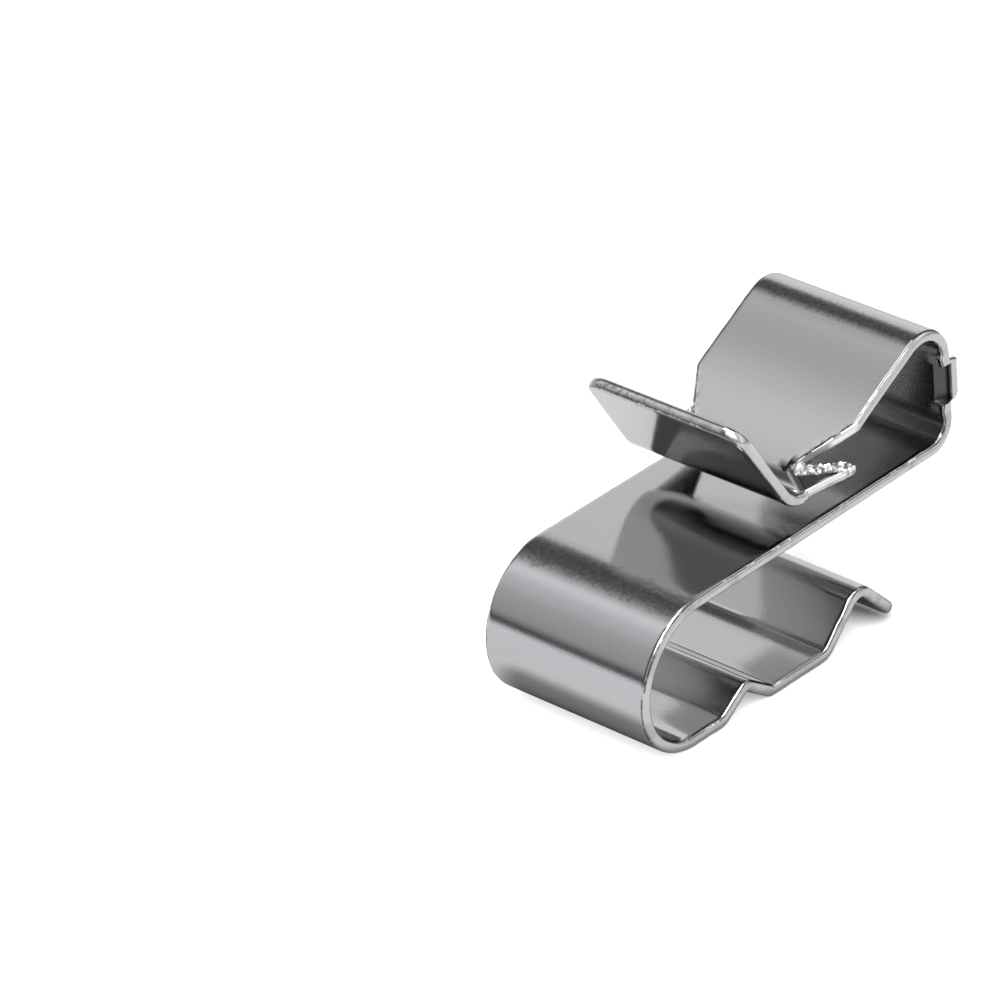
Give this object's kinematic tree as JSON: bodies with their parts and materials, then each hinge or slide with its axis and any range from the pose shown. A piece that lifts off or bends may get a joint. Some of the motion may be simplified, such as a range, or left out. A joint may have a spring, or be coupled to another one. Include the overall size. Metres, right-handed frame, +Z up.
{
  "type": "cable clip",
  "caption": "Folded spring-steel clip that pushes onto a panel frame's edge and holds cables in a round loop and a shallow channel below it.",
  "frame": {"origin": "middle of the clip's length and width, at the height of the table that it lies on", "axes": "+X runs along the clip from the closed loop to the folded wall, +Y runs across the strip, +Z points up, from the cables' side to the side that grips the frame"},
  "size_m": [0.0316, 0.0126, 0.0203],
  "materials": {
    "clip_steel": "smooth rolled stainless steel with a soft shine, bright sheared edges"
  },
  "bodies": {
    "root": {"cable_clip": "clip_steel"}
  },
  "joints": []
}
